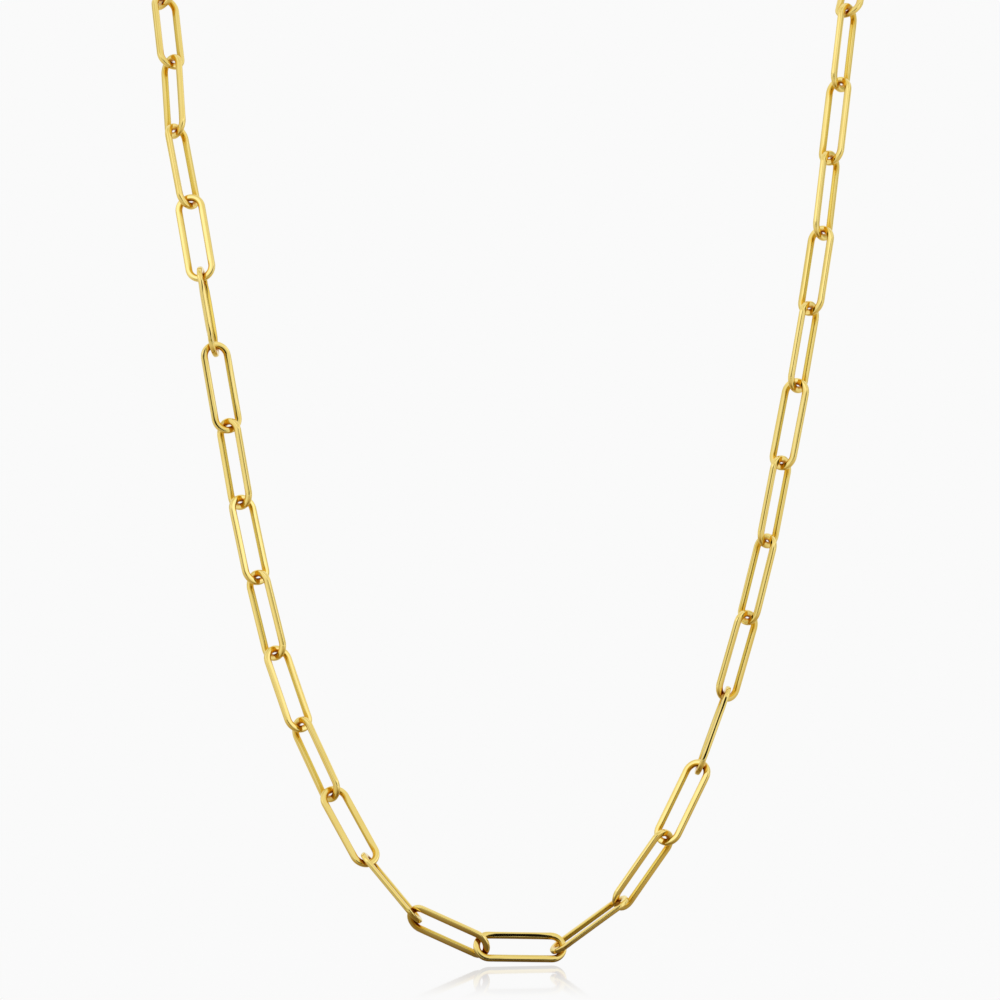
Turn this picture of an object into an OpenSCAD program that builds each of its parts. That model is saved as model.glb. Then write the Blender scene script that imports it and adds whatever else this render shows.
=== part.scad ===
/* [Link] */
// Length of a link over its two round ends
link_len = 12.5; // [11:0.1:14]
// Width of a link over its two straight rails
link_w = 4.1; // [3.8:0.1:4.6]
// Width of the flattened wire, seen on the link's broad side
wire_w = 0.9; // [0.8:0.05:1]
// Thickness of the flattened wire, seen on the link's narrow side
wire_t = 0.7; // [0.6:0.05:0.75]
// Small flat along each edge of the wire
wire_edge = 0.2; // [0.17:0.01:0.22]
// Play between two links that pull on each other in a straight line
link_play = 0.15; // [0.12:0.01:0.25]

/* [Clasp] */
// Length of the clasp's oval claw
claw_len = 8.7; // [8:0.1:10]
// Width of the clasp's oval claw
claw_w = 4.9; // [4.6:0.1:5.4]
// Wall of the clasp, on its broad side
claw_wall = 1; // [0.9:0.05:1.1]
// Outer diameter of the eye at the clasp's tail
eye_d = 3.5; // [3.4:0.1:4]
// Wall of the eye
eye_wall = 0.75; // [0.7:0.05:0.85]
// Thickness of the clasp
clasp_t = 1; // [0.9:0.05:1.1]
// Play between the clasp and the links that it joins
clasp_play = 0.22; // [0.22:0.01:0.4]

/* [Neck] */
// Links on each side of the clasp, behind the front drape
nape_links = 7; // [6:1:8]
// Slope of the stretch that goes round the back of the neck
nape_slope = 40; // [30:1:50]

/* [Hidden] */
$fn = 48;
gold = "#D9BC4B";

// Columns of the table below
heading = 0; // from straight down, positive to the right
lean = 1; // away from the front, on the way round
roll = 2; // turn about the link's length, inner rail to the back

// The front drape, a row for each link: down the left, round the bottom, up the right
front = [
    [7, -38, 36],
    [4, -28, -51],
    [11, -22, 50],
    [10, -21, -14],
    [10, -14, 81],
    [10, -9, 19],
    [10, -11, -42],
    [12, -13, 35],
    [14, -12, -41],
    [19, -16, 35],
    [25, -18, -47],
    [29, -19, 28],
    [40, -20, -96],
    [66, -20, -39],
    [89, 11, 21],
    [126, 8, 75],
    [145, 6, -50],
    [154, 9, 35],
    [160, 8, 85],
    [164, 5, -44],
    [166, 5, 50],
    [169, 5, -52],
    [169, 8, 35],
    [170, 11, -54],
    [171, 15, 40],
    [173, 18, -55],
    [173, 19, 43],
    [173, 20, -56],
];

// Chain: every link hangs on the inside of the one before it
inner_len = link_len - 2 * wire_w;
eye_overlap = 0.6;
clasp_len = claw_len + eye_d - eye_overlap;
clasp_pitch = clasp_len - claw_wall - eye_wall - clasp_play;
front_links = len(front);
link_count = front_links + 2 * nape_links;

function unit(v) = v / norm(v);

function way(turn, back) = [sin(turn) * cos(back), sin(back), -cos(turn) * cos(back)];

ways = [for (row = front) way(row[heading], row[lean])];

// Two wires need more play where the chain bends or where they don't cross squarely
bend_play = 0.4;
slant_play = 0.2;
nape_bend = 15; // about the turn from one link to the next round the nape

function play(bend, crossing) = link_play + bend_play * sin(bend) + slant_play * abs(cos(crossing));

nape_play = play(nape_bend, 90);
link_pitch = inner_len - nape_play;

function play_before(i) = i == 0 || i == front_links
    ? nape_play
    : play(acos(ways[i - 1] * ways[i]), front[i][roll] - front[i - 1][roll]);

function front_pitch(i) = inner_len - (play_before(i) + play_before(i + 1)) / 2;

function drape(from, i) = i == front_links
    ? [from]
    : concat([from], drape(from + front_pitch(i) * ways[i], i + 1));

front_joints = drape([0, 0, 0], 0);
left_top = front_joints[0];
right_top = front_joints[front_links];
span = norm(right_top - left_top);

// Round the nape: links and clasp are chords of one arc that closes the loop
function half_turn(r) = 2 * nape_links * asin(link_pitch / 2 / r) + asin(clasp_pitch / 2 / r);

function closing_r(low, high, tries) = let (mid = (low + high) / 2)
    tries == 0 ? mid :
    2 * mid * sin(half_turn(mid)) < span
        ? closing_r(mid, high, tries - 1)
        : closing_r(low, mid, tries - 1);

tightest_r = span / 2;
widest_r = 2 * span;
nape_r = closing_r(tightest_r, widest_r, 40);
nape_half = half_turn(nape_r);
link_turn = 2 * asin(link_pitch / 2 / nape_r);
clasp_turn = 2 * asin(clasp_pitch / 2 / nape_r);

across = unit(right_top - left_top);
uphill = [0, cos(nape_slope), sin(nape_slope)];
inward = unit(uphill - (uphill * across) * across);
nape_centre = (left_top + right_top) / 2 - nape_r * cos(nape_half) * inward;

function on_nape(turn) = nape_centre + nape_r * (sin(turn) * across + cos(turn) * inward);

// The origin is the middle of the clasp, where the necklace lies on the nape
clasp_right = on_nape(clasp_turn / 2);
clasp_left = on_nape(-clasp_turn / 2);
origin = (clasp_left + clasp_right) / 2;

joints = concat(
    [for (i = [0 : nape_links]) on_nape(-clasp_turn / 2 - i * link_turn) - origin],
    [for (i = [1 : front_links]) front_joints[i] - origin],
    [for (i = [1 : nape_links]) on_nape(nape_half - i * link_turn) - origin]
);

// Every link is turned a quarter or so from the last, and the rest drifts to the clasp's own roll
first_roll = front[0][roll];
last_roll = front[front_links - 1][roll];
clasp_roll = (first_roll + last_roll) / 2;
nape_steps = nape_links + 1;

function nape_roll(front_roll, steps) =
    front_roll + 90 * steps + (clasp_roll - front_roll) * steps / nape_steps;

function link_roll(i) =
    i <= nape_links ? nape_roll(first_roll, nape_steps - i) :
    i > nape_links + front_links ? nape_roll(last_roll, i - nape_links - front_links) :
    front[i - nape_links - 1][roll];

function link_name(i) = str("link_", i < 10 ? "0" : "", i);

// Flattened wire with its edges taken off
module wire_section(w, t) {
    x = w / 2;
    y = t / 2;
    e = wire_edge;
    polygon([[-x, e - y], [e - x, -y], [x - e, -y], [x, e - y],
             [x, y - e], [x - e, y], [e - x, y], [-x, y - e]]);
}

// Half a turn of wire, standing on the z axis
module wire_bend(bend_r, w, t) {
    rotate([90, 0, 0])
        rotate_extrude(angle = 180)
            translate([bend_r, 0])
                wire_section(w, t);
}

// Closed stadium of wire, long way up, lying in the xz plane
module wire_oval(length, width, w, t) {
    rail = length - width;
    bend_r = (width - w) / 2;
    for (side = [-1, 1])
        translate([side * bend_r, 0, 0])
            linear_extrude(rail, center = true)
                wire_section(w, t);
    for (turn = [0, 180])
        rotate([0, turn, 0])
            translate([0, 0, rail / 2])
                wire_bend(bend_r, w, t);
}

// Lays a piece that stands on z along the stretch between two joints
module between(from, to, own_roll) {
    stretch = to - from;
    turn = atan2(stretch[0], -stretch[2]);
    back = asin(stretch[1] / norm(stretch));
    translate((from + to) / 2)
        rotate([back, -turn, 0])
            rotate([0, 0, own_roll])
                children();
}

module link(i) {
    color(gold)
        between(joints[i - 1], joints[i], link_roll(i))
            wire_oval(link_len, link_w, wire_w, wire_t);
}

// Oval claw above, round eye below, joined by a short neck
module clasp() {
    claw_middle = (clasp_len - claw_len) / 2;
    eye_middle = (clasp_len - eye_d) / 2;
    pull_middle = (claw_wall - eye_wall) / 2;
    color(gold)
        between(joints[link_count], joints[0], clasp_roll)
            translate([0, 0, -pull_middle]) {
                translate([0, 0, -claw_middle])
                    wire_oval(claw_len, claw_w, claw_wall, clasp_t);
                translate([0, 0, eye_middle])
                    rotate([90, 0, 0])
                        rotate_extrude()
                            translate([(eye_d - eye_wall) / 2, 0])
                                wire_section(eye_wall, clasp_t);
            }
}

for (i = [1 : link_count])
    link(i);
clasp();
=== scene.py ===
import math

import bpy
import numpy as np
from mathutils import Matrix, Vector


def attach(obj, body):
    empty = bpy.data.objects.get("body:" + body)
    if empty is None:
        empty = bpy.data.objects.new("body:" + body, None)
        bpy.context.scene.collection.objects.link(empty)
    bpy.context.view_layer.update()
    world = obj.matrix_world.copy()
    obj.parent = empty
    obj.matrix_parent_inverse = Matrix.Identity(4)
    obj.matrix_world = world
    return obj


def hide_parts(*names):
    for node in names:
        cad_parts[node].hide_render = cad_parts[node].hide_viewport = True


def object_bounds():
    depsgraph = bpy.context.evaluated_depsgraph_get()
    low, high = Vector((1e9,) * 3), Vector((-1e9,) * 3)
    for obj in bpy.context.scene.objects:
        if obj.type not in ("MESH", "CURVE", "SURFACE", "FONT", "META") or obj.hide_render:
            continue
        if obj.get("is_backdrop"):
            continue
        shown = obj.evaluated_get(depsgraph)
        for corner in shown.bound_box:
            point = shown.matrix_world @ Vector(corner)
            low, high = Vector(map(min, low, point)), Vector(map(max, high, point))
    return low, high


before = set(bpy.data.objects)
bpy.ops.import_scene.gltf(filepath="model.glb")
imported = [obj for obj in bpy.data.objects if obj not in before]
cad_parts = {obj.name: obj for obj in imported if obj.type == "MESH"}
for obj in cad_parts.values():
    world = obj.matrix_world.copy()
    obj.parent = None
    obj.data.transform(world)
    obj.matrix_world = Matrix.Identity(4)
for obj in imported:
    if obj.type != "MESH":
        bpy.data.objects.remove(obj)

mm = 0.001
scene = bpy.context.scene
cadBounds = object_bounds()
linkNames = sorted(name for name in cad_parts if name.startswith("link_"))
print("frame loaded:", len(linkNames), "links and the clasp")

# Sockets of one node that share a name are reached by number
colourA, colourB, mixedColour = 6, 7, 2           # a Mix node that mixes colours
numberA, numberB, mixedNumber = 2, 3, 0           # a Mix node that mixes numbers
leastNumber, mostNumber, randomNumber = 2, 3, 1   # a Random Value node


def toLinear(hexColour):  # an sRGB hex value as the linear colour that shaders take
    parts = [int(hexColour[k:k + 2], 16) / 255 for k in (1, 3, 5)]
    return [c / 12.92 if c <= 0.04045 else ((c + 0.055) / 1.055) ** 2.4 for c in parts] + [1.0]


def addNode(tree, kind, inputs=None, **settings):  # one node, its settings, and what feeds its sockets
    node = tree.nodes.new(kind)
    for name, value in settings.items():
        setattr(node, name, value)
    for name, value in (inputs or {}).items():
        if isinstance(value, bpy.types.NodeSocket):
            tree.links.new(value, node.inputs[name])
        else:
            node.inputs[name].default_value = value
    return node


# Polished 14k yellow gold wire: drawn, bent, soldered and tumbled to a mirror. The eye sees sharp
# light and dark stripes along each rail, softened by a faint waviness that the tumbling leaves,
# with hairline scratches that only show where a highlight falls on them.
# Beside the alloy's own drift, the colour holds painted shade on the inner faces, in the bends and in the
# joints.
goldFinish = {
    "colour": "#F5DF8C",          # lit face
    "deepColour": "#EFD276",      # where more copper shows in the alloy
    "paintedInnerShade": "#DFC35A",     # painted shade on the inner side of the rails
    "paintedBendShade": "#DCAA30",      # painted shade and a painted warm reflection on the inner side of the bends, where the links hang in each other
    "bendReach": 0.45,            # how much further round the section that colour goes in the bends
    "innerEdge": (0.70, 0.96),    # from here to there across the section the inner side begins
    "paintedJointShade": "#B87C2C",     # painted shade where two wires lie close together, in the joints between links
    "jointReach": 0.6 * mm,
    "jointEdge": (0.85, 0.45),    # share of the open view at which that colour begins and is full
    "jointSamples": 12,
    "roughness": 0.06,
    "innerRoughness": 0.13,
    "alloyGrain": 3.0 * mm,       # size of the slow colour drift
    "alloyDetail": 2.0,
    "waveLength": 2.6 * mm,       # tumbling waves
    "waveDepth": 0.016 * mm,
    "waveDetail": 1.0,
    "scratchSpacing": 0.12 * mm,  # drawn coarser than real hairlines, which are 0.01 mm
    "scratchDepth": 0.0003 * mm,
    "scratchDetail": 3.0,
    "scratchBend": 0.6,
    "scratchEdge": (0.35, 0.75),  # of the noise, from no scratch to a full one
    "scratchHaze": (0.7, 1.5),    # times the roughness, from no scratch to a full one
}


def polishedGoldWire():
    finish = goldFinish
    material = bpy.data.materials.new("polished 14k gold wire")
    material.use_nodes = True
    tree = material.node_tree
    tree.nodes.clear()
    place = addNode(tree, "ShaderNodeTexCoord")

    # colour: the alloy's drift, then painted shade on the inner side and in the bends, then painted shade
    # in the joints
    drift = addNode(tree, "ShaderNodeTexNoise", {
        "Vector": place.outputs["Object"], "Scale": 1 / finish["alloyGrain"],
        "Detail": finish["alloyDetail"]})
    colour = addNode(tree, "ShaderNodeMix", {
        "Factor": drift.outputs["Fac"], colourA: toLinear(finish["colour"]),
        colourB: toLinear(finish["deepColour"])}, data_type="RGBA")
    swell = addNode(tree, "ShaderNodeAttribute", attribute_name="swell")  # 0 in a bend, 1 on a rail
    # painted shade on the inner faces of the rails, deeper and warmer in the bends
    bendOrRailShade = addNode(tree, "ShaderNodeMix", {
        "Factor": swell.outputs["Fac"], colourA: toLinear(finish["paintedBendShade"]),
        colourB: toLinear(finish["paintedInnerShade"])}, data_type="RGBA")
    inward = addNode(tree, "ShaderNodeAttribute", attribute_name="inward")  # 1 where it faces the window
    further = addNode(tree, "ShaderNodeMapRange", {
        "Value": swell.outputs["Fac"], "To Min": finish["bendReach"], "To Max": 0.0})
    reach = addNode(tree, "ShaderNodeMath", {
        0: inward.outputs["Fac"], 1: further.outputs["Result"]}, operation="ADD")
    innerStart, innerFull = finish["innerEdge"]
    inner = addNode(tree, "ShaderNodeMapRange", {
        "Value": reach.outputs[0], "From Min": innerStart, "From Max": innerFull})
    shadedInside = addNode(tree, "ShaderNodeMix", {
        "Factor": inner.outputs["Result"], colourA: colour.outputs[mixedColour],
        colourB: bendOrRailShade.outputs[mixedColour]}, data_type="RGBA")
    # painted shade in the joints: the less open view a wire has near it, the darker
    openness = addNode(tree, "ShaderNodeAmbientOcclusion", {  # the floor doesn't count for it
        "Distance": finish["jointReach"]}, samples=finish["jointSamples"], only_local=True)
    jointStart, jointFull = finish["jointEdge"]
    crowded = addNode(tree, "ShaderNodeMapRange", {
        "Value": openness.outputs["AO"], "From Min": jointStart, "From Max": jointFull})
    shadedInJoints = addNode(tree, "ShaderNodeMix", {
        "Factor": crowded.outputs["Result"], colourA: shadedInside.outputs[mixedColour],
        colourB: toLinear(finish["paintedJointShade"])}, data_type="RGBA")

    # surface: tumbling waves, and scratches that also cloud the mirror a little
    waves = addNode(tree, "ShaderNodeTexNoise", {
        "Vector": place.outputs["Object"], "Scale": 1 / finish["waveLength"],
        "Detail": finish["waveDetail"]})
    waveBump = addNode(tree, "ShaderNodeBump", {
        "Height": waves.outputs["Fac"], "Distance": finish["waveDepth"], "Strength": 1.0})
    scratches = addNode(tree, "ShaderNodeTexNoise", {
        "Vector": place.outputs["Object"], "Scale": 1 / finish["scratchSpacing"],
        "Detail": finish["scratchDetail"], "Distortion": finish["scratchBend"]})
    scratchBump = addNode(tree, "ShaderNodeBump", {
        "Height": scratches.outputs["Fac"], "Distance": finish["scratchDepth"], "Strength": 1.0,
        "Normal": waveBump.outputs["Normal"]})
    scratchStart, scratchFull = finish["scratchEdge"]
    leastHaze, mostHaze = finish["scratchHaze"]
    haze = addNode(tree, "ShaderNodeMapRange", {
        "Value": scratches.outputs["Fac"], "From Min": scratchStart, "From Max": scratchFull,
        "To Min": finish["roughness"] * leastHaze, "To Max": finish["roughness"] * mostHaze})
    polish = addNode(tree, "ShaderNodeMix", {
        "Factor": inner.outputs["Result"], numberA: haze.outputs["Result"],
        numberB: finish["innerRoughness"]}, data_type="FLOAT")
    shader = addNode(tree, "ShaderNodeBsdfPrincipled", {
        "Base Color": shadedInJoints.outputs[mixedColour], "Metallic": 1.0,
        "Roughness": polish.outputs[mixedNumber], "Normal": scratchBump.outputs["Normal"]})
    addNode(tree, "ShaderNodeOutputMaterial", {"Surface": shader.outputs["BSDF"]})
    return material


# Wire ovals: one tree bends flattened wire into a closed oval and lays one on every point
linkShape = {
    "Oval Length": 12.5 * mm,
    "Oval Width": 4.1 * mm,
    "Wire Width": 0.9 * mm,       # seen on the broad side
    "Wire Thickness": 0.7 * mm,   # seen on the narrow side
    "Squareness": 3.3,            # 2 is an oval section, 4 and more a square one
    "Bend Steps": 20,
    "Rail Steps": 8,
    "Section Points": 32,
    "Stray Cant": 5.0,            # degrees that a rail's faces may be turned by hand bending
    "Cant Spread": 0.25,          # power: the smaller, the nearer to the bends a rail has its full cant
    "Seed": 7,
}
clearCants = {                    # degrees on both rails of the links whose faces clearly turn
    "link_12": (36.0, -36.0),
    "link_13": (12.0, -12.0),
    "link_21": (12.0, -12.0),
    "link_22": (-18.5, -6.0),
    "link_26": (15.0, -15.0),
}

# What the tree works out for every point, in order: name, operation, first value, second value
ovalSums = [
    ("halfSteps", "ADD", "Bend Steps", "Rail Steps"),  # half an oval is a bend and then a rail
    ("steps", "MULTIPLY", "halfSteps", 2.0),
    ("step", "MODULO", "index", "halfSteps"),
    ("bendPart", "DIVIDE", "step", "Bend Steps"),
    ("bent", "MINIMUM", "bendPart", 1.0),
    ("railStep", "SUBTRACT", "step", "Bend Steps"),
    ("railStart", "MAXIMUM", "railStep", 0.0),
    ("along", "DIVIDE", "railStart", "Rail Steps"),
    ("pastStep", "ADD", "index", 0.5),  # so that the second half's first point counts to it
    ("otherHalf", "GREATER_THAN", "pastStep", "halfSteps"),
    ("turnBack", "MULTIPLY", "otherHalf", -2.0),
    ("about", "ADD", "turnBack", 1.0),  # the second half is the first one turned about
    ("angle", "MULTIPLY", "bent", math.pi),
    ("cosine", "COSINE", "angle", 0.0),
    ("sine", "SINE", "angle", 0.0),
    ("bendWidth", "SUBTRACT", "Oval Width", "Wire Width"),
    ("bendRadius", "MULTIPLY", "bendWidth", 0.5),
    ("sideways", "MULTIPLY", "cosine", "bendRadius"),
    ("bendRise", "MULTIPLY", "sine", "bendRadius"),
    ("railLength", "SUBTRACT", "Oval Length", "Oval Width"),
    ("railFall", "MULTIPLY", "along", "railLength"),
    ("railHalf", "MULTIPLY", "railLength", 0.5),
    ("railRise", "SUBTRACT", "railHalf", "railFall"),
    ("upward", "ADD", "bendRise", "railRise"),
    ("ovalX", "MULTIPLY", "sideways", "about"),
    ("ovalY", "MULTIPLY", "upward", "about"),
    ("railAngle", "MULTIPLY", "along", math.pi),
    ("railSwell", "SINE", "railAngle", 0.0),
    ("swellNow", "POWER", "railSwell", "Cant Spread"),  # full cant on the rail and none at its ends
    ("leastStray", "MULTIPLY", "Stray Cant", -1.0),
    ("secondSeed", "ADD", "Seed", 1.0),
    ("corner", "DIVIDE", 2.0, "Squareness"),
    ("farX", "ABSOLUTE", "atX", 0.0),
    ("farY", "ABSOLUTE", "atY", 0.0),
    ("outX", "POWER", "farX", "corner"),
    ("outY", "POWER", "farY", "corner"),
    ("signX", "SIGN", "atX", 0.0),
    ("signY", "SIGN", "atY", 0.0),
    ("halfThick", "MULTIPLY", "Wire Thickness", 0.5),
    ("halfWide", "MULTIPLY", "Wire Width", 0.5),
    ("sideX", "MULTIPLY", "outX", "signX"),
    ("sideY", "MULTIPLY", "outY", "signY"),
    ("sectionX", "MULTIPLY", "sideX", "halfThick"),
    ("sectionY", "MULTIPLY", "sideY", "halfWide"),
    ("towardOutside", "DIVIDE", "atY", "halfWide"),
    ("inwardNow", "MULTIPLY", "towardOutside", -1.0),
]


def ovalCentreline(tree, known):  # the points of a circle, moved onto the oval
    ring = addNode(tree, "GeometryNodeCurvePrimitiveCircle", {
        "Resolution": known["steps"], "Radius": 1.0}, mode="RADIUS")
    centre = addNode(tree, "ShaderNodeCombineXYZ", {"X": known["ovalX"], "Y": known["ovalY"]})
    moved = addNode(tree, "GeometryNodeSetPosition", {
        "Geometry": ring.outputs["Curve"], "Position": centre.outputs[0]})
    oval = moved.outputs["Geometry"]
    for name, source in (("swell", "swellNow"), ("secondHalf", "otherHalf")):
        stored = addNode(tree, "GeometryNodeStoreNamedAttribute", {
            "Geometry": oval, "Name": name, "Value": known[source]}, data_type="FLOAT")
        oval = stored.outputs["Geometry"]
    return oval


def ovalsOnPoints(tree, known, oval):  # every point gets its own cants, and an oval turned as it says
    points = known["Geometry"]
    for name, seed in (("firstCant", "Seed"), ("secondCant", "secondSeed")):
        wanted = addNode(tree, "GeometryNodeInputNamedAttribute", {"Name": name}, data_type="FLOAT")
        stray = addNode(tree, "FunctionNodeRandomValue", {
            leastNumber: known["leastStray"], mostNumber: known["Stray Cant"], "Seed": known[seed],
        }, data_type="FLOAT")
        both = addNode(tree, "ShaderNodeMath", {
            0: wanted.outputs["Attribute"], 1: stray.outputs[randomNumber]}, operation="ADD")
        canting = addNode(tree, "GeometryNodeStoreNamedAttribute", {
            "Geometry": points, "Name": name, "Value": both.outputs[0]}, data_type="FLOAT")
        points = canting.outputs["Geometry"]
    turn = addNode(tree, "GeometryNodeInputNamedAttribute", {"Name": "turn"}, data_type="QUATERNION")
    laid = addNode(tree, "GeometryNodeInstanceOnPoints", {
        "Points": points, "Instance": oval, "Rotation": turn.outputs["Attribute"]})
    real = addNode(tree, "GeometryNodeRealizeInstances", {"Geometry": laid.outputs["Instances"]})
    return real.outputs["Geometry"]


def cantedRails(tree, ovals):  # the broad face looks out of the oval's plane, but for each rail's cant
    broadSide = addNode(tree, "GeometryNodeInputNamedAttribute", {
        "Name": "broadSide"}, data_type="FLOAT_VECTOR")
    faced = addNode(tree, "GeometryNodeSetCurveNormal", {
        "Curve": ovals, "Normal": broadSide.outputs["Attribute"]}, mode="FREE")
    stored = {}
    for name in ("firstCant", "secondCant", "swell", "secondHalf"):
        reading = addNode(tree, "GeometryNodeInputNamedAttribute", {"Name": name}, data_type="FLOAT")
        stored[name] = reading.outputs["Attribute"]
    cant = addNode(tree, "ShaderNodeMix", {
        "Factor": stored["secondHalf"], numberA: stored["firstCant"], numberB: stored["secondCant"],
    }, data_type="FLOAT")
    fullTilt = addNode(tree, "ShaderNodeMath", {0: cant.outputs[mixedNumber]}, operation="RADIANS")
    tilt = addNode(tree, "ShaderNodeMath", {
        0: fullTilt.outputs[0], 1: stored["swell"]}, operation="MULTIPLY")
    canted = addNode(tree, "GeometryNodeSetCurveTilt", {
        "Curve": faced.outputs["Curve"], "Tilt": tilt.outputs[0]})
    return canted.outputs["Curve"]


def wireSection(tree, known):  # a circle pushed out to its corners, so the faces stay a little crowned
    circle = addNode(tree, "GeometryNodeCurvePrimitiveCircle", {
        "Resolution": known["Section Points"], "Radius": 1.0}, mode="RADIUS")
    squared = addNode(tree, "ShaderNodeCombineXYZ", {"X": known["sectionX"], "Y": known["sectionY"]})
    section = addNode(tree, "GeometryNodeSetPosition", {
        "Geometry": circle.outputs["Curve"], "Position": squared.outputs[0]})
    told = addNode(tree, "GeometryNodeStoreNamedAttribute", {
        "Geometry": section.outputs["Geometry"], "Name": "inward", "Value": known["inwardNow"],
    }, data_type="FLOAT")
    return told.outputs["Geometry"]


def ovalTree(gold):
    tree = bpy.data.node_groups.new("flattened wire ovals", "GeometryNodeTree")
    tree.is_modifier = True
    tree.interface.new_socket("Geometry", in_out="INPUT", socket_type="NodeSocketGeometry")
    for name, value in linkShape.items():
        kind = "NodeSocketInt" if isinstance(value, int) else "NodeSocketFloat"
        tree.interface.new_socket(name, in_out="INPUT", socket_type=kind)
    tree.interface.new_socket("Geometry", in_out="OUTPUT", socket_type="NodeSocketGeometry")
    known = {socket.name: socket for socket in addNode(tree, "NodeGroupInput").outputs}
    known["index"] = addNode(tree, "GeometryNodeInputIndex").outputs[0]
    position = addNode(tree, "GeometryNodeInputPosition").outputs[0]
    at = addNode(tree, "ShaderNodeSeparateXYZ", {"Vector": position})
    known.update(atX=at.outputs["X"], atY=at.outputs["Y"])
    for name, operation, *values in ovalSums:
        inputs = {socket: known.get(value, value) for socket, value in enumerate(values)}
        known[name] = addNode(tree, "ShaderNodeMath", inputs, operation=operation).outputs[0]
    ovals = ovalsOnPoints(tree, known, ovalCentreline(tree, known))
    wire = addNode(tree, "GeometryNodeCurveToMesh", {
        "Curve": cantedRails(tree, ovals), "Profile Curve": wireSection(tree, known)})
    smooth = addNode(tree, "GeometryNodeSetShadeSmooth", {"Geometry": wire.outputs["Mesh"]})
    solid = addNode(tree, "GeometryNodeRealizeInstances", {"Geometry": smooth.outputs["Geometry"]})
    finished = addNode(tree, "GeometryNodeSetMaterial", {
        "Geometry": solid.outputs["Geometry"], "Material": gold})
    addNode(tree, "NodeGroupOutput", {"Geometry": finished.outputs["Geometry"]})
    return tree


def faceVolumes(corners):  # of the tetrahedron between each face and the origin
    return np.einsum("ij,ij->i", corners[:, 0], np.cross(corners[:, 1], corners[:, 2])) / 6


# Where a CAD piece lies: its middle, its long way and its broad way. They are summed over such
# tetrahedra, whose middle is a quarter and whose spread a twentieth of what their corners give.
def ovalPlace(name):
    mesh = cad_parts[name].data
    points = np.array([v.co for v in mesh.vertices])
    corners = np.array([[points[k] for k in face.vertices] for face in mesh.polygons])
    volumes = faceVolumes(corners)
    middle = (volumes[:, None] * corners.sum(1) / 4).sum(0) / volumes.sum()
    corners -= middle
    spread = np.zeros((3, 3))
    for volume, face in zip(faceVolumes(corners), corners):  # how far the metal lies out each way
        total = face.sum(0)
        spread += volume * (np.outer(total, total) + face.T @ face) / 20
    directions = np.linalg.eigh(spread)[1]  # from the narrowest way to the longest
    along, across = Vector(directions[:, 2]), Vector(directions[:, 1])
    if along.z > 0:  # every oval is drawn from its upper end down
        along.negate()
    if across.cross(along).y > 0:  # and its broad side looks to the front
        across.negate()
    return Vector(middle), along, across


def plainMesh(name, source):  # what the modifiers make of an object, as a mesh of its own at the origin
    graph = bpy.context.evaluated_depsgraph_get()
    mesh = bpy.data.meshes.new_from_object(source.evaluated_get(graph), depsgraph=graph)
    piece = bpy.data.objects.new(name, mesh)
    scene.collection.objects.link(piece)
    bpy.data.objects.remove(source)
    return piece


def wireOvals(name, tree, shape, places, cants):  # an oval at each place, as one plain mesh
    points = bpy.data.meshes.new(name + " points")
    points.from_pydata([middle for middle, _, _ in places], [], [])
    directions = [(across, along, across.cross(along)) for _, along, across in places]
    turns = [Matrix(axes).transposed().to_quaternion() for axes in directions]
    told = {
        "turn": ("QUATERNION", "value", turns),
        "broadSide": ("FLOAT_VECTOR", "vector", [axes[2] for axes in directions]),
        "firstCant": ("FLOAT", "value", [first for first, _ in cants]),
        "secondCant": ("FLOAT", "value", [second for _, second in cants]),
    }
    for label, (kind, field, values) in told.items():
        attribute = points.attributes.new(label, kind, "POINT")
        for item, value in zip(attribute.data, values):
            setattr(item, field, value)
    source = bpy.data.objects.new(name + " points", points)
    scene.collection.objects.link(source)
    modifier = source.modifiers.new("wire ovals", "NODES")
    modifier.node_group = tree
    for item in tree.interface.items_tree:
        if item.in_out == "INPUT" and item.name in shape:
            modifier[item.identifier] = shape[item.name]
    return plainMesh(name, source)


def makeLinks(tree):
    places = [ovalPlace(name) for name in linkNames]
    cants = [clearCants.get(name, (0.0, 0.0)) for name in linkNames]
    chain = wireOvals("gold_links", tree, linkShape, places, cants)
    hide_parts(*linkNames)
    return chain


# Clasp: a cast oval claw with a small eye soldered to it
claspShape = {
    "claw": {"Oval Length": 8.7 * mm, "Oval Width": 4.9 * mm, "Wire Width": 1.0 * mm, "Rail Steps": 6},
    "eye": {"Oval Length": 3.5 * mm, "Oval Width": 3.5 * mm, "Wire Width": 0.75 * mm, "Rail Steps": 0},
    "both": {"Wire Thickness": 1.0 * mm, "Squareness": 3.2, "Bend Steps": 32, "Section Points": 40,
             "Stray Cant": 0.0, "Cant Spread": 0.25, "Seed": 0},
    "seamWeld": 0.012 * mm,       # slivers along the seam that are thinner than this are closed
    "sharpAngle": 50.0,           # degrees from one face to the next from which the edge stays sharp
}


def makeClasp(tree):
    middle, along, across = ovalPlace("clasp")
    reach = [(v.co - middle).dot(along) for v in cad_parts["clasp"].data.vertices]
    low, high = min(reach), max(reach)
    toEye = 1 if high > -low else -1  # the heavier claw keeps the middle nearer to itself
    eyeEnd, clawEnd = (high, low) if toEye > 0 else (low, high)
    parts = []
    for name, end, inward in (("claw", clawEnd, toEye), ("eye", eyeEnd, -toEye)):
        shape = {**claspShape["both"], **claspShape[name]}
        centre = middle + along * (end + inward * shape["Oval Length"] / 2)
        parts.append(wireOvals(name, tree, shape, [(centre, along, across)], [(0.0, 0.0)]))
    claw, eye = parts
    solder = claw.modifiers.new("solder", "BOOLEAN")
    solder.operation = "UNION"
    solder.solver = "EXACT"
    solder.object = eye
    seam = claw.modifiers.new("seam", "WELD")
    seam.merge_threshold = claspShape["seamWeld"]
    clasp = plainMesh("gold_clasp", claw)
    bpy.data.objects.remove(eye)
    clasp.data.set_sharp_from_angle(angle=math.radians(claspShape["sharpAngle"]))
    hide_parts("clasp")
    return clasp


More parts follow.
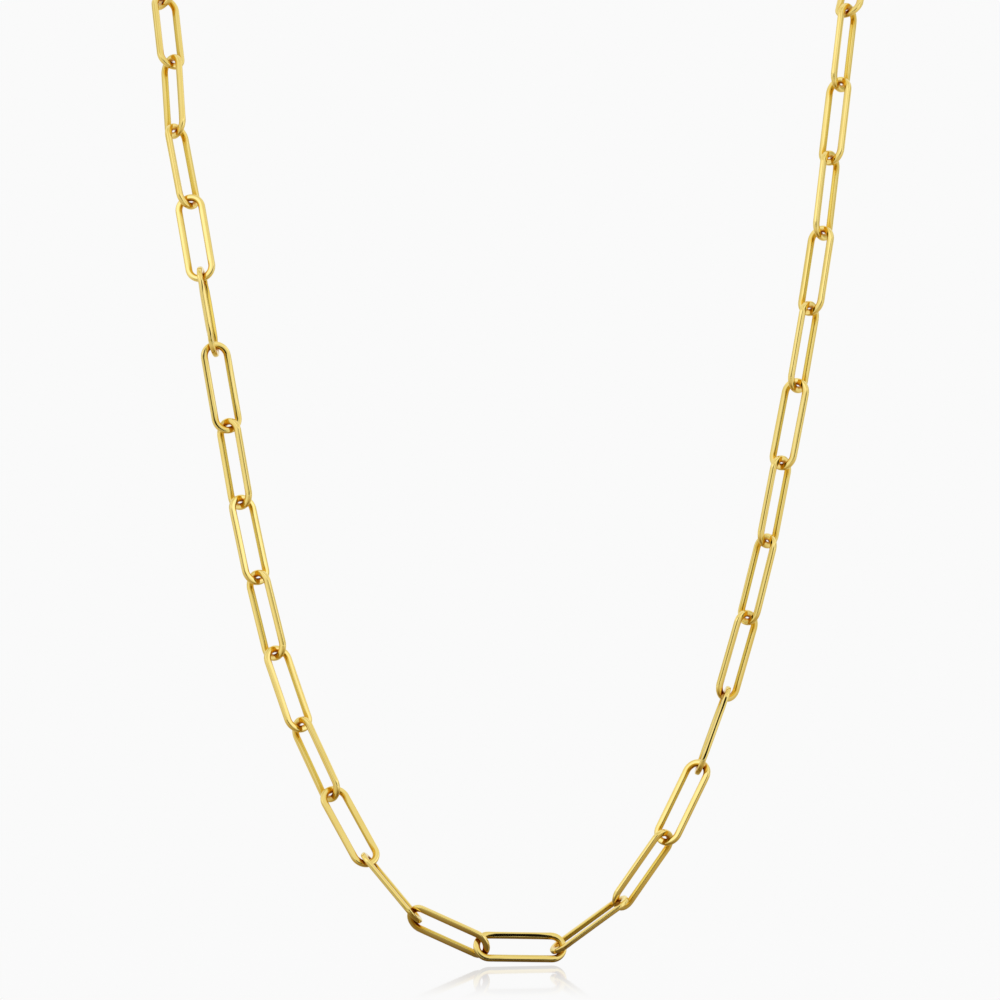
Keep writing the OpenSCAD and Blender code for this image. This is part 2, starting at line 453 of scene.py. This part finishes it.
# Studio: a white tent, open and so dark only where the camera looks in
studio = {
    "paper": "#FAFAFA",           # backdrop and floor
    "brightest": 0.98,            # what a ramp's 1 stands for
    "clothTint": (1.07, 1.76),    # powers for green and blue: the dimmer the cloth, the warmer
    "walls": [                    # brightness by degrees round the tent, 0 at the camera, 90 on the right
        (-180, 0.75), (-165, 1.00), (-150, 0.60), (-138, 1.00), (-126, 0.50), (-116, 0.90),
        (-106, 1.06), (-96, 0.50), (-86, 1.00), (-76, 1.08), (-66, 0.66), (-57, 0.95),
        (-50, 0.42), (-40, 0.38), (-30, 0.66), (-15, 0.60), (0, 0.50), (15, 0.40),
        (28, 0.60), (36, 0.90), (45, 1.05), (54, 0.70), (63, 1.05), (72, 0.62),
        (81, 1.08), (96, 0.48), (106, 1.06), (118, 0.52), (130, 1.00), (145, 0.60),
        (165, 1.00), (180, 0.75)],
    "ceiling": [                  # brightness by rise above the walls, 1 is overhead
        (0.00, 0.80), (0.36, 0.82), (0.50, 1.14), (0.62, 1.00), (0.74, 0.90), (0.84, 1.02),
        (0.93, 0.80), (1.00, 0.72)],
    "ceilingEdge": (0.26, 0.50),  # the rise from which the walls fade, to all ceiling
    "lensOpening": (15.0, 20.0),  # degrees from its middle to where black ends and to where cloth begins
    "lensDark": "#1A1815",
    "lensSquash": 0.44,           # its width by its height
    "lensSide": 15.0,             # degrees that the opening's middle lies to the right
    "horizon": 0.032,             # rise of the white rim where table and tent meet
    "floorGap": 0.2 * mm,         # below the lowest link
    "floorSize": 6.0,             # metres along each side
    "lowestAcross": -7 * mm,      # where the lowest link hangs, from side to side
    "mirroredFloorShadow": [                # painted shadow that the gold sees mirrored in the floor, by millimetres from the lowest link
        (0, "#54421E"), (14, "#7A622E"), (40, "#B8A470"), (120, "#DACFB6"), (400, "#EFEBE2")],
    "sheetIor": 1.49,             # acrylic, for what the gold sees mirrored in the sheet
    "mirrorShare": 0.48,          # of the light at the lowest glance, for what the camera sees
    "mirrorRoughness": 0.02,
    "mirrorFalloff": 26.0,        # the higher the look, the less the sheet mirrors
    "mirrorReach": (40 * mm, 220 * mm),  # the polished patch fades out between these distances
    "cameraDistance": 3.0,        # metres in front of the chain
    "cameraClip": (0.1, 20.0),    # metres
    "frameWidth": 131.45 * mm,    # what the frame takes in at the lowest link
    "frameCentre": (-9.43 * mm, -98.9 * mm),
    "panelColour": "#B4C0FF",     # cooler than the cloth, so highlights on gold come out pale
    "panels": [                   # soft boxes: place from the middle, width, height, radiance
        ((-0.75, -0.55, 0.45), 0.5, 0.7, 0.5),
        ((0.85, -0.40, 0.30), 0.4, 0.8, 0.5),
        ((0.05, 0.20, 0.95), 0.8, 0.5, 0.5)],
}


def fillRamp(ramp, stops):
    while len(ramp.elements) < len(stops):
        ramp.elements.new(1.0)
    for element, (position, colour) in zip(ramp.elements, stops):
        element.position, element.color = position, colour


# White acrylic sheet, cast and polished: as pale as the paper, and a faint mirror at a low glance
def whiteAcrylicSheet(lowest):
    material = bpy.data.materials.new("white acrylic sheet")
    material.use_nodes = True
    tree = material.node_tree
    tree.nodes.clear()
    place = addNode(tree, "ShaderNodeTexCoord")
    fromLowest = addNode(tree, "ShaderNodeVectorMath", {
        0: place.outputs["Object"], 1: lowest}, operation="DISTANCE")
    farthest = studio["mirroredFloorShadow"][-1][0]
    away = addNode(tree, "ShaderNodeMath", {
        0: fromLowest.outputs["Value"], 1: farthest * mm}, operation="DIVIDE")
    # painted shadow under the chain, dark near the lowest link, which only the gold sees mirrored; the
    # camera sees the even paper
    floorShadowRamp = addNode(tree, "ShaderNodeValToRGB", {"Fac": away.outputs[0]})
    fillRamp(floorShadowRamp.color_ramp, [(reach / farthest, toLinear(tint)) for reach, tint in studio["mirroredFloorShadow"]])
    look = addNode(tree, "ShaderNodeLightPath")
    shown = addNode(tree, "ShaderNodeMix", {
        "Factor": look.outputs["Is Camera Ray"], colourA: floorShadowRamp.outputs["Color"],
        colourB: toLinear(studio["paper"])}, data_type="RGBA")
    matt = addNode(tree, "ShaderNodeEmission", {"Color": shown.outputs[mixedColour], "Strength": 1.0})
    gloss = addNode(tree, "ShaderNodeBsdfGlossy", {
        "Color": (1, 1, 1, 1), "Roughness": studio["mirrorRoughness"]})
    glance = addNode(tree, "ShaderNodeLayerWeight")
    grazing = addNode(tree, "ShaderNodeMath", {
        0: glance.outputs["Facing"], 1: studio["mirrorFalloff"]}, operation="POWER")
    fadeStart, fadeEnd = studio["mirrorReach"]
    patch = addNode(tree, "ShaderNodeMapRange", {
        "Value": fromLowest.outputs["Value"], "From Min": fadeStart, "From Max": fadeEnd,
        "To Min": studio["mirrorShare"], "To Max": 0.0}, interpolation_type="SMOOTHSTEP")
    share = addNode(tree, "ShaderNodeMath", {
        0: grazing.outputs[0], 1: patch.outputs["Result"]}, operation="MULTIPLY")
    sheen = addNode(tree, "ShaderNodeFresnel", {"IOR": studio["sheetIor"]})
    seen = addNode(tree, "ShaderNodeMix", {
        "Factor": look.outputs["Is Camera Ray"], numberA: sheen.outputs[0], numberB: share.outputs[0],
    }, data_type="FLOAT")
    mix = addNode(tree, "ShaderNodeMixShader", {
        0: seen.outputs[mixedNumber], 1: matt.outputs[0], 2: gloss.outputs[0]})
    addNode(tree, "ShaderNodeOutputMaterial", {"Surface": mix.outputs[0]})
    return material


def makeStage():
    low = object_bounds()[0]
    half = studio["floorSize"] / 2
    height = low.z - studio["floorGap"]
    mesh = bpy.data.meshes.new("studio floor")
    corners = [(-half, -half, height), (half, -half, height), (half, half, height), (-half, half, height)]
    mesh.from_pydata(corners, [], [(0, 1, 2, 3)])
    mesh.materials.append(whiteAcrylicSheet((studio["lowestAcross"], low.y, height)))
    floor = bpy.data.objects.new("studio_floor", mesh)
    scene.collection.objects.link(floor)
    floor.visible_diffuse = False
    floor.visible_shadow = False
    floor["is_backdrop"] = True


def tentCloth(tree, part):  # brightness round the walls, and over the ceiling above them
    toCamera = addNode(tree, "ShaderNodeMath", {0: part.outputs["Y"], 1: -1.0}, operation="MULTIPLY")
    turn = addNode(tree, "ShaderNodeMath", {
        0: part.outputs["X"], 1: toCamera.outputs[0]}, operation="ARCTAN2")
    wallPlace = addNode(tree, "ShaderNodeMapRange", {
        "Value": turn.outputs[0], "From Min": -math.pi, "From Max": math.pi})
    walls = addNode(tree, "ShaderNodeValToRGB", {"Fac": wallPlace.outputs["Result"]})
    ceiling = addNode(tree, "ShaderNodeValToRGB", {"Fac": part.outputs["Z"]})
    green, blue = studio["clothTint"]
    wallStops = [((degrees + 180) / 360, level) for degrees, level in studio["walls"]]
    for ramp, stops in ((walls.color_ramp, wallStops), (ceiling.color_ramp, studio["ceiling"])):
        tints = [(place, (level, level ** green, level ** blue, 1)) for place, level in stops]
        fillRamp(ramp, tints)
    wallEnd, ceilingStart = studio["ceilingEdge"]
    edge = addNode(tree, "ShaderNodeMapRange", {
        "Value": part.outputs["Z"], "From Min": wallEnd, "From Max": ceilingStart})
    cloth = addNode(tree, "ShaderNodeMix", {
        "Factor": edge.outputs["Result"], colourA: walls.outputs["Color"],
        colourB: ceiling.outputs["Color"]}, data_type="RGBA")
    return cloth.outputs[mixedColour]


def lensHole(tree, toward):  # 1 in the dark opening and 0 on the cloth
    inner, outer = studio["lensOpening"]
    side = math.radians(studio["lensSide"])
    squashed = addNode(tree, "ShaderNodeVectorMath", {
        0: toward, 1: (1.0, 1.0, studio["lensSquash"])}, operation="MULTIPLY")
    unit = addNode(tree, "ShaderNodeVectorMath", {0: squashed.outputs[0]}, operation="NORMALIZE")
    intoOpening = addNode(tree, "ShaderNodeVectorMath", {
        0: unit.outputs[0], 1: (math.sin(side), -math.cos(side), 0.0)}, operation="DOT_PRODUCT")
    opening = addNode(tree, "ShaderNodeMapRange", {
        "Value": intoOpening.outputs["Value"], "From Min": math.cos(math.radians(outer)),
        "From Max": math.cos(math.radians(inner))}, interpolation_type="SMOOTHSTEP")
    return opening.outputs["Result"]


def makeTent():
    world = bpy.data.worlds.new("studio tent")
    scene.world = world
    world.use_nodes = True
    tree = world.node_tree
    tree.nodes.clear()
    toward = addNode(tree, "ShaderNodeTexCoord").outputs["Generated"]
    part = addNode(tree, "ShaderNodeSeparateXYZ", {"Vector": toward})
    pierced = addNode(tree, "ShaderNodeMix", {
        "Factor": lensHole(tree, toward), colourA: tentCloth(tree, part),
        colourB: toLinear(studio["lensDark"])}, data_type="RGBA")
    tent = addNode(tree, "ShaderNodeBackground", {
        "Color": pierced.outputs[mixedColour], "Strength": studio["brightest"]})
    white = addNode(tree, "ShaderNodeBackground", {"Color": toLinear(studio["paper"]), "Strength": 1.0})
    halfRim = studio["horizon"] / 2
    rim = addNode(tree, "ShaderNodeMath", {  # from level up to the horizon's rise
        0: part.outputs["Z"], 1: halfRim, 2: halfRim}, operation="COMPARE")
    look = addNode(tree, "ShaderNodeLightPath")
    plain = addNode(tree, "ShaderNodeMath", {
        0: look.outputs["Is Camera Ray"], 1: rim.outputs[0]}, operation="MAXIMUM")
    both = addNode(tree, "ShaderNodeMixShader", {
        0: plain.outputs[0], 1: tent.outputs[0], 2: white.outputs[0]})
    addNode(tree, "ShaderNodeOutputWorld", {"Surface": both.outputs[0]})


def makePanels():
    aim = (cadBounds[0] + cadBounds[1]) / 2
    for place, width, height, radiance in studio["panels"]:
        data = bpy.data.lights.new("soft box", "AREA")
        data.shape = "RECTANGLE"
        data.color = toLinear(studio["panelColour"])[:3]
        data.size, data.size_y = width, height
        data.energy = radiance * math.pi * width * height
        panel = bpy.data.objects.new("soft box", data)
        panel.location = aim + Vector(place)
        panel.rotation_euler = Vector(place).to_track_quat("Z", "Y").to_euler()
        panel.visible_camera = False
        scene.collection.objects.link(panel)


def makeCamera():
    data = bpy.data.cameras.new("camera")
    camera = bpy.data.objects.new("camera", data)
    scene.collection.objects.link(camera)
    distance = studio["cameraDistance"]
    centreX, centreZ = studio["frameCentre"]
    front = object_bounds()[0].y
    camera.location = (centreX, front - distance, centreZ)
    camera.rotation_euler = (math.pi / 2, 0, 0)
    data.lens = data.sensor_width * distance / studio["frameWidth"]
    data.clip_start, data.clip_end = studio["cameraClip"]
    scene.camera = camera


gold = polishedGoldWire()
print("gold mixed")
ovals = ovalTree(gold)
chain = makeLinks(ovals)
print("links laid:", len(chain.data.polygons), "faces")
clasp = makeClasp(ovals)
print("clasp soldered:", len(clasp.data.polygons), "faces")
for piece in (chain, clasp):
    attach(piece, "root")
makeStage()
makeTent()
makePanels()
makeCamera()
scene.view_settings.view_transform = "Standard"
print("studio set")
